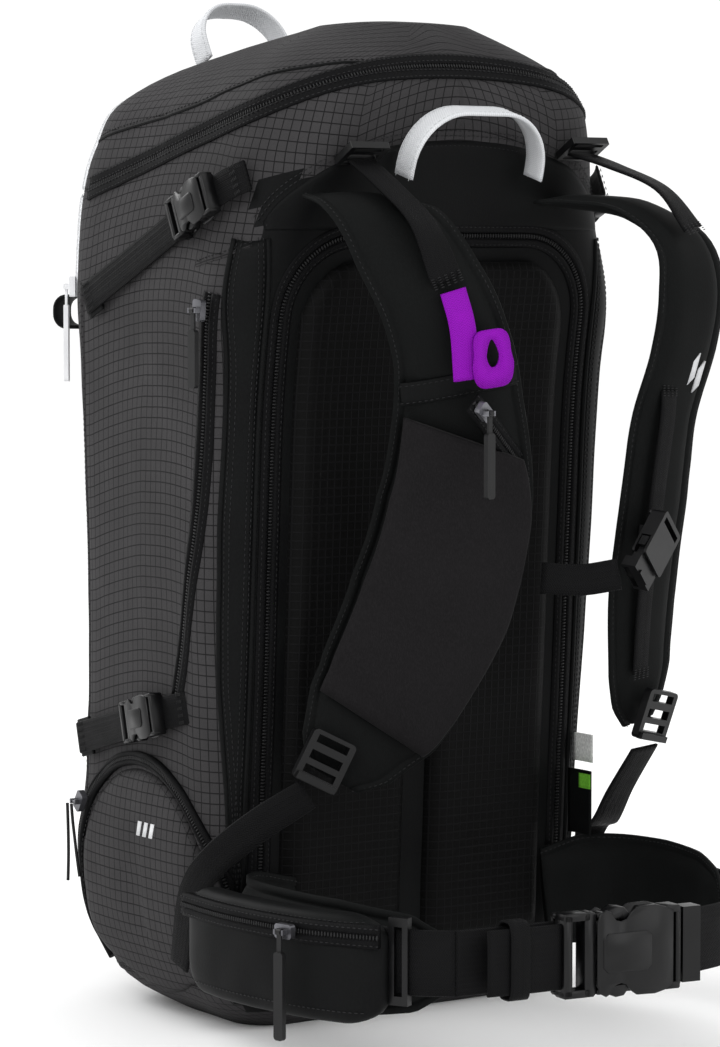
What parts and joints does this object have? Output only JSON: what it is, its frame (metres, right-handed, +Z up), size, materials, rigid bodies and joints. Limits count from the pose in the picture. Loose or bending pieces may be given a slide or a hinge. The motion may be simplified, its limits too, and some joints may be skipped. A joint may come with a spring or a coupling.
{
  "type": "ski backpack",
  "caption": "Hooded-lid ski and touring backpack with padded harness, buckled hip belt, side compression straps, zipped pockets and carry loops.",
  "frame": {"origin": "centre of the base, on the floor", "axes": "+Z up, +Y towards the pack's front, away from the wearer's back; +X towards the wearer's left"},
  "size_m": [0.3472, 0.4524, 0.633],
  "materials": {
    "ripstop": "charcoal ripstop nylon with a black grid",
    "black_nylon": "smooth black nylon over foam",
    "back_foam": "black ripstop-faced foam",
    "softshell": "dark softshell cloth",
    "zip_tape": "coated zip tape with a nylon coil",
    "pale_zip": "light grey zip tape",
    "webbing": "black woven webbing",
    "pale_webbing": "light grey woven webbing",
    "purple_webbing": "bright purple webbing",
    "buckle_plastic": "moulded black acetal",
    "slider_metal": "dark coated zinc",
    "pale_slider": "white coated zinc",
    "pull_rubber": "black moulded grip",
    "pale_pull": "light grey cord and grip",
    "label": "printed woven tape",
    "sheet_plastic": "extruded polyethylene",
    "stay_alloy": "flat bar"
  },
  "bodies": {
    "bag": {"bag_shell": "ripstop", "lid_zip_lower": "zip_tape", "front_zip_track": "pale_zip", "back_zip_track": "zip_tape", "pocket_zip_tracks": "zip_tape", "back_pads": "back_foam", "harness_yoke": "black_nylon", "frame_sheet": "sheet_plastic", "frame_stays": "stay_alloy", "lower_pocket": "ripstop", "lower_pocket_zip": "zip_tape", "side_labels": "label", "side_buckle_sockets": "buckle_plastic", "side_strap_webbing": "webbing", "sewn_anchors": "webbing", "shoulder_strap_right": "black_nylon", "shoulder_strap_left": "black_nylon", "strap_pocket": "softshell", "grab_tab": "purple_webbing", "lifter_buckles": "buckle_plastic", "harness_webbing": "webbing", "lower_webbing_right": "webbing", "lower_webbing_left": "webbing", "hip_wing_right": "black_nylon", "hip_wing_left": "black_nylon", "hip_pocket": "black_nylon", "hip_webbing": "webbing", "hip_belt_sliders": "buckle_plastic", "hip_socket": "buckle_plastic"},
    "lid": {"lid_shell": "ripstop", "lid_zip_upper": "zip_tape", "front_zip_upper": "pale_zip"},
    "hip_tongue": {"hip_tongue": "buckle_plastic", "hip_tail": "webbing"},
    "sternum": {"sternum_socket": "buckle_plastic", "sternum_webbing": "webbing"},
    "haul_loop_back": {"haul_loop_back": "pale_webbing"},
    "haul_loop_front": {"haul_loop_front": "pale_webbing"},
    "lid_slider": {"lid_slider": "slider_metal"},
    "side_slider": {"side_slider": "slider_metal"},
    "side_pull": {"side_pull": "pull_rubber"},
    "front_slider": {"front_slider": "pale_slider"},
    "front_pull": {"front_pull": "pale_pull"},
    "pocket_slider": {"pocket_slider": "slider_metal"},
    "pocket_cords": {"pocket_cords": "webbing"},
    "hip_slider": {"hip_slider": "slider_metal"},
    "hip_pull": {"hip_pull": "pull_rubber"},
    "strap_slider": {"strap_slider": "slider_metal"},
    "strap_pull": {"strap_pull": "pull_rubber"},
    "back_slider": {"back_slider": "slider_metal"},
    "tongue_upper_right": {"tongue_upper_right": "buckle_plastic"},
    "tongue_upper_left": {"tongue_upper_left": "buckle_plastic"},
    "tongue_lower_right": {"tongue_lower_right": "buckle_plastic"},
    "tongue_lower_left": {"tongue_lower_left": "buckle_plastic"},
    "hip_arm_low": {"hip_arm_low": "buckle_plastic"},
    "hip_arm_high": {"hip_arm_high": "buckle_plastic"},
    "ladder_lock_right": {"ladder_lock_right": "buckle_plastic"},
    "ladder_lock_left": {"ladder_lock_left": "buckle_plastic"},
    "sternum_tongue": {"sternum_tongue": "buckle_plastic"}
  },
  "joints": [
    {"name": "lid_open", "type": "hinge", "parent": "bag", "child": "lid", "pos_m": [0, 0.1215, 0.508], "axis": [-1, 0, 0], "range_deg": [0, 70]},
    {"name": "haul_loop_back_fold", "type": "hinge", "parent": "bag", "child": "haul_loop_back", "pos_m": [0.002, -0.1395, 0.519], "axis": [1, 0, 0], "range_deg": [-8, 35]},
    {"name": "haul_loop_front_fold", "type": "hinge", "parent": "lid", "child": "haul_loop_front", "pos_m": [-0.022, 0.06877, 0.58707], "axis": [-1, 0, 0], "range_deg": [0, 40]},
    {"name": "lid_zip", "type": "slide", "parent": "bag", "child": "lid_slider", "axis": [-0.046, -0.9664, 0.2528], "range_m": [0, 0.09]},
    {"name": "side_zip", "type": "slide", "parent": "bag", "child": "side_slider", "axis": [0, 0.112, -0.9937], "range_m": [0, 0.1]},
    {"name": "side_pull_swing", "type": "hinge", "parent": "side_slider", "child": "side_pull", "pos_m": [-0.15999, -0.08353, 0.43996], "axis": [-0.0493, 0.9988, 0], "range_deg": [0, 110]},
    {"name": "front_zip", "type": "slide", "parent": "bag", "child": "front_slider", "axis": [0, 0, 1], "range_m": [0, 0.05]},
    {"name": "front_pull_swing", "type": "hinge", "parent": "front_slider", "child": "front_pull", "pos_m": [-0.12932, 0.10759, 0.452], "axis": [0.65, 0.76, 0], "range_deg": [0, 110]},
    {"name": "pocket_zip", "type": "hinge", "parent": "bag", "child": "pocket_slider", "pos_m": [-0.138, 0.008, 0.077], "axis": [0.9959, -0.09, 0], "range_deg": [0, 70]},
    {"name": "pocket_cords_hang", "type": "hinge", "parent": "pocket_slider", "child": "pocket_cords", "pos_m": [-0.14317, 0.07909, 0.12801], "axis": [0.9959, -0.09, 0], "range_deg": [-70, 0]},
    {"name": "hip_zip", "type": "hinge", "parent": "bag", "child": "hip_slider", "pos_m": [0.05471, -0.16432, 0.091], "axis": [0, 0, -1], "range_deg": [0, 14]},
    {"name": "hip_pull_swing", "type": "hinge", "parent": "hip_slider", "child": "hip_pull", "pos_m": [-0.18738, -0.21126, 0.091], "axis": [-0.1903, 0.9817, 0], "range_deg": [0, 110]},
    {"name": "strap_zip", "type": "slide", "parent": "bag", "child": "strap_slider", "axis": [0.7561, 0.3044, -0.5794], "range_m": [0, 0.038]},
    {"name": "strap_pull_swing", "type": "hinge", "parent": "strap_slider", "child": "strap_pull", "pos_m": [-0.03783, -0.21148, 0.38042], "axis": [-0.9737, -0.228, 0], "range_deg": [0, 110]},
    {"name": "back_zip", "type": "slide", "parent": "bag", "child": "back_slider", "axis": [1, 0, 0], "range_m": [0, 0.086]},
    {"name": "tongue_upper_right_release", "type": "slide", "parent": "bag", "child": "tongue_upper_right", "axis": [-0.0297, 0.9094, -0.4148], "range_m": [0, 0.02]},
    {"name": "tongue_upper_left_release", "type": "slide", "parent": "bag", "child": "tongue_upper_left", "axis": [0.0297, 0.9094, -0.4148], "range_m": [0, 0.02]},
    {"name": "tongue_lower_right_release", "type": "slide", "parent": "bag", "child": "tongue_lower_right", "axis": [0.0619, 0.9697, -0.2365], "range_m": [0, 0.02]},
    {"name": "tongue_lower_left_release", "type": "slide", "parent": "bag", "child": "tongue_lower_left", "axis": [-0.0619, 0.9697, -0.2365], "range_m": [0, 0.02]},
    {"name": "hip_tongue_release", "type": "slide", "parent": "bag", "child": "hip_tongue", "axis": [-0.9907, 0.1362, 0], "range_m": [0, 0.028]},
    {"name": "hip_arm_low_squeeze", "type": "hinge", "parent": "hip_tongue", "child": "hip_arm_low", "pos_m": [-0.03361, -0.30066, 0.05814], "axis": [-0.1362, -0.9907, 0], "range_deg": [0, 6], "stiffness_Nm_per_rad": 0.4},
    {"name": "hip_arm_high_squeeze", "type": "hinge", "parent": "hip_tongue", "child": "hip_arm_high", "pos_m": [-0.03361, -0.30066, 0.09386], "axis": [0.1362, 0.9907, 0], "range_deg": [0, 6], "stiffness_Nm_per_rad": 0.4},
    {"name": "ladder_lock_right_tilt", "type": "hinge", "parent": "bag", "child": "ladder_lock_right", "pos_m": [-0.0986, -0.1399, 0.1855], "axis": [-0.8517, 0.2679, 0.4505], "range_deg": [0, 35], "deforming": ["lower_webbing_right"]},
    {"name": "ladder_lock_left_tilt", "type": "hinge", "parent": "bag", "child": "ladder_lock_left", "pos_m": [0.1259, -0.1741, 0.2009], "axis": [-0.9525, -0.2291, 0.2007], "range_deg": [0, 35], "deforming": ["lower_webbing_left"]},
    {"name": "sternum_height", "type": "slide", "parent": "bag", "child": "sternum", "axis": [0.0814, -0.0814, 0.9933], "range_m": [-0.02, 0.012]},
    {"name": "sternum_release", "type": "slide", "parent": "sternum", "child": "sternum_tongue", "axis": [-0.6528, -0.1451, -0.7435], "range_m": [0, 0.018], "deforming": ["sternum_webbing"]}
  ]
}
